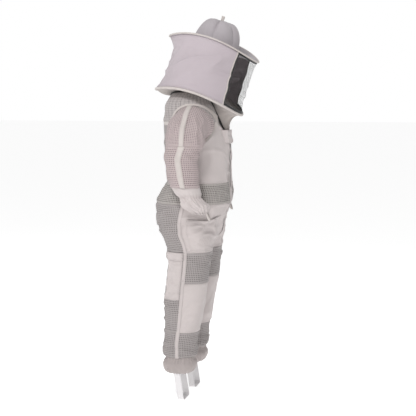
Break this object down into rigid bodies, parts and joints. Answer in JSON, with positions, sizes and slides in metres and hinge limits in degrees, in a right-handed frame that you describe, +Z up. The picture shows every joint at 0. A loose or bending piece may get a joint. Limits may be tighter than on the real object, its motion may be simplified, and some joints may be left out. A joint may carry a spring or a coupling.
{
  "type": "beekeeping suit",
  "caption": "Full-length ventilated beekeeping suit with a zip-on round brimmed hat veil, net and cotton panels, zips, pockets and elastic stirrups.",
  "frame": {"origin": "middle of the collar, where the worn suit hangs from the neck and shoulders", "axes": "+Z up, the wearer faces -Y, and +X is the wearer's left"},
  "size_m": [0.6024, 0.4563, 1.6765],
  "materials": {
    "cotton": "off-white cotton twill",
    "spacer_net": "layered open net over a spacer, off-white with grey holes",
    "veil_cotton": "fine off-white cotton",
    "veil_net": "open black net",
    "elastic": "ribbed white webbing",
    "zip_tape": "dark woven tape and teeth",
    "zip_slider": "dark satin enamel"
  },
  "bodies": {
    "suit": {"yoke_front_left": "spacer_net", "yoke_front_right": "spacer_net", "chest_panel_left": "cotton", "chest_panel_right": "cotton", "hip_front_left": "cotton", "hip_front_right": "cotton", "seat_left": "spacer_net", "seat_right": "spacer_net", "inner_thigh_left": "spacer_net", "inner_thigh_right": "spacer_net", "hip_pocket_left": "cotton", "hip_pocket_right": "cotton", "yoke_back": "spacer_net", "back_panel": "spacer_net", "waist_band": "spacer_net", "front_zip": "zip_tape", "neck_zip_lower": "zip_tape"},
    "hood": {"hat_crown": "cotton", "hat_tab": "cotton", "hat_brim": "cotton", "brim_rim": "veil_cotton", "sweatband": "elastic", "veil_cloth": "veil_cotton", "veil_window": "veil_net", "veil_hoop": "veil_cotton", "neck_skirt": "veil_cotton", "neck_zip_upper": "zip_tape"},
    "throat_flap": {"throat_flap": "cotton"},
    "front_slider": {"front_slider": "zip_slider"},
    "front_slider_pull": {"front_slider_pull": "zip_slider"},
    "neck_slider_left": {"neck_slider_left": "zip_slider"},
    "upper_arm_left": {"sleeve_upper_left": "spacer_net"},
    "forearm_left": {"sleeve_elbow_left": "spacer_net", "sleeve_cuff_left": "cotton"},
    "thigh_left": {"thigh_left": "spacer_net", "knee_patch_left": "cotton", "knee_back_left": "spacer_net", "thigh_pocket_left": "cotton", "side_strip_left": "cotton"},
    "thigh_pocket_flap_left": {"thigh_pocket_flap_left": "cotton"},
    "shin_left": {"shin_left": "spacer_net", "leg_cuff_left": "spacer_net", "ankle_zip_left": "zip_tape", "stirrup_left": "elastic"},
    "ankle_slider_left": {"ankle_slider_left": "zip_slider"},
    "neck_slider_right": {"neck_slider_right": "zip_slider"},
    "upper_arm_right": {"sleeve_upper_right": "spacer_net"},
    "forearm_right": {"sleeve_elbow_right": "spacer_net", "sleeve_cuff_right": "cotton"},
    "thigh_right": {"thigh_right": "spacer_net", "knee_patch_right": "cotton", "knee_back_right": "spacer_net", "thigh_pocket_right": "cotton", "side_strip_right": "cotton"},
    "thigh_pocket_flap_right": {"thigh_pocket_flap_right": "cotton"},
    "shin_right": {"shin_right": "spacer_net", "leg_cuff_right": "spacer_net", "ankle_zip_right": "zip_tape", "stirrup_right": "elastic"},
    "ankle_slider_right": {"ankle_slider_right": "zip_slider"}
  },
  "joints": [
    {"name": "hood_tip", "type": "hinge", "parent": "suit", "child": "hood", "pos_m": [0, 0.0962, -0.0228], "axis": [-1, 0, 0], "range_deg": [0, 75]},
    {"name": "throat_flap_open", "type": "hinge", "parent": "suit", "child": "throat_flap", "pos_m": [-0.0597, -0.1564, -0.223], "axis": [0, -0.3145, -0.9493], "range_deg": [0, 90]},
    {"name": "front_zip_slide", "type": "slide", "parent": "suit", "child": "front_slider", "axis": [0, -0.0426, -0.9991], "range_m": [0, 0.21]},
    {"name": "front_pull_swing", "type": "hinge", "parent": "front_slider", "child": "front_slider_pull", "pos_m": [0, -0.1671, -0.231], "axis": [-1, 0, 0], "range_deg": [0, 90]},
    {"name": "neck_zip_slide_left", "type": "slide", "parent": "suit", "child": "neck_slider_left", "axis": [0.345, 0.324, 0.8809], "range_m": [0, 0.085]},
    {"name": "shoulder_left", "type": "hinge", "parent": "suit", "child": "upper_arm_left", "pos_m": [0.189, -0.035, -0.148], "axis": [-1, 0, 0], "range_deg": [-40, 120]},
    {"name": "elbow_left", "type": "hinge", "parent": "upper_arm_left", "child": "forearm_left", "pos_m": [0.243, -0.012, -0.305], "axis": [-1, 0, 0], "range_deg": [0, 85], "deforming": ["sleeve_elbow_left"]},
    {"name": "hip_left", "type": "hinge", "parent": "suit", "child": "thigh_left", "pos_m": [0.097, 0.008, -0.483], "axis": [-1, 0, 0], "range_deg": [-20, 90], "deforming": ["hip_front_left", "seat_left", "inner_thigh_left", "hip_pocket_left", "side_strip_left"]},
    {"name": "knee_left", "type": "hinge", "parent": "thigh_left", "child": "shin_left", "pos_m": [0.099, 0.012, -0.915], "axis": [1, 0, 0], "range_deg": [0, 90], "deforming": ["knee_patch_left", "knee_back_left", "thigh_pocket_left", "side_strip_left"]},
    {"name": "thigh_pocket_open_left", "type": "hinge", "parent": "thigh_left", "child": "thigh_pocket_flap_left", "pos_m": [0.176, 0.0494, -0.6923], "axis": [0.4251, -0.9052, 0], "range_deg": [0, 100]},
    {"name": "ankle_zip_slide_left", "type": "slide", "parent": "shin_left", "child": "ankle_slider_left", "axis": [0, 0, 1], "range_m": [0, 0.05]},
    {"name": "neck_zip_slide_right", "type": "slide", "parent": "suit", "child": "neck_slider_right", "axis": [-0.345, 0.324, 0.8809], "range_m": [0, 0.085]},
    {"name": "shoulder_right", "type": "hinge", "parent": "suit", "child": "upper_arm_right", "pos_m": [-0.189, -0.035, -0.148], "axis": [-1, 0, 0], "range_deg": [-40, 120]},
    {"name": "elbow_right", "type": "hinge", "parent": "upper_arm_right", "child": "forearm_right", "pos_m": [-0.243, -0.012, -0.305], "axis": [-1, 0, 0], "range_deg": [0, 85], "deforming": ["sleeve_elbow_right"]},
    {"name": "hip_right", "type": "hinge", "parent": "suit", "child": "thigh_right", "pos_m": [-0.097, 0.008, -0.483], "axis": [-1, 0, 0], "range_deg": [-20, 90], "deforming": ["hip_front_right", "seat_right", "inner_thigh_right", "hip_pocket_right", "side_strip_right"]},
    {"name": "knee_right", "type": "hinge", "parent": "thigh_right", "child": "shin_right", "pos_m": [-0.099, 0.012, -0.915], "axis": [1, 0, 0], "range_deg": [0, 90], "deforming": ["knee_patch_right", "knee_back_right", "thigh_pocket_right", "side_strip_right"]},
    {"name": "thigh_pocket_open_right", "type": "hinge", "parent": "thigh_right", "child": "thigh_pocket_flap_right", "pos_m": [-0.176, 0.0494, -0.6923], "axis": [0.4251, 0.9052, 0], "range_deg": [0, 100]},
    {"name": "ankle_zip_slide_right", "type": "slide", "parent": "shin_right", "child": "ankle_slider_right", "axis": [0, 0, 1], "range_m": [0, 0.05]}
  ]
}
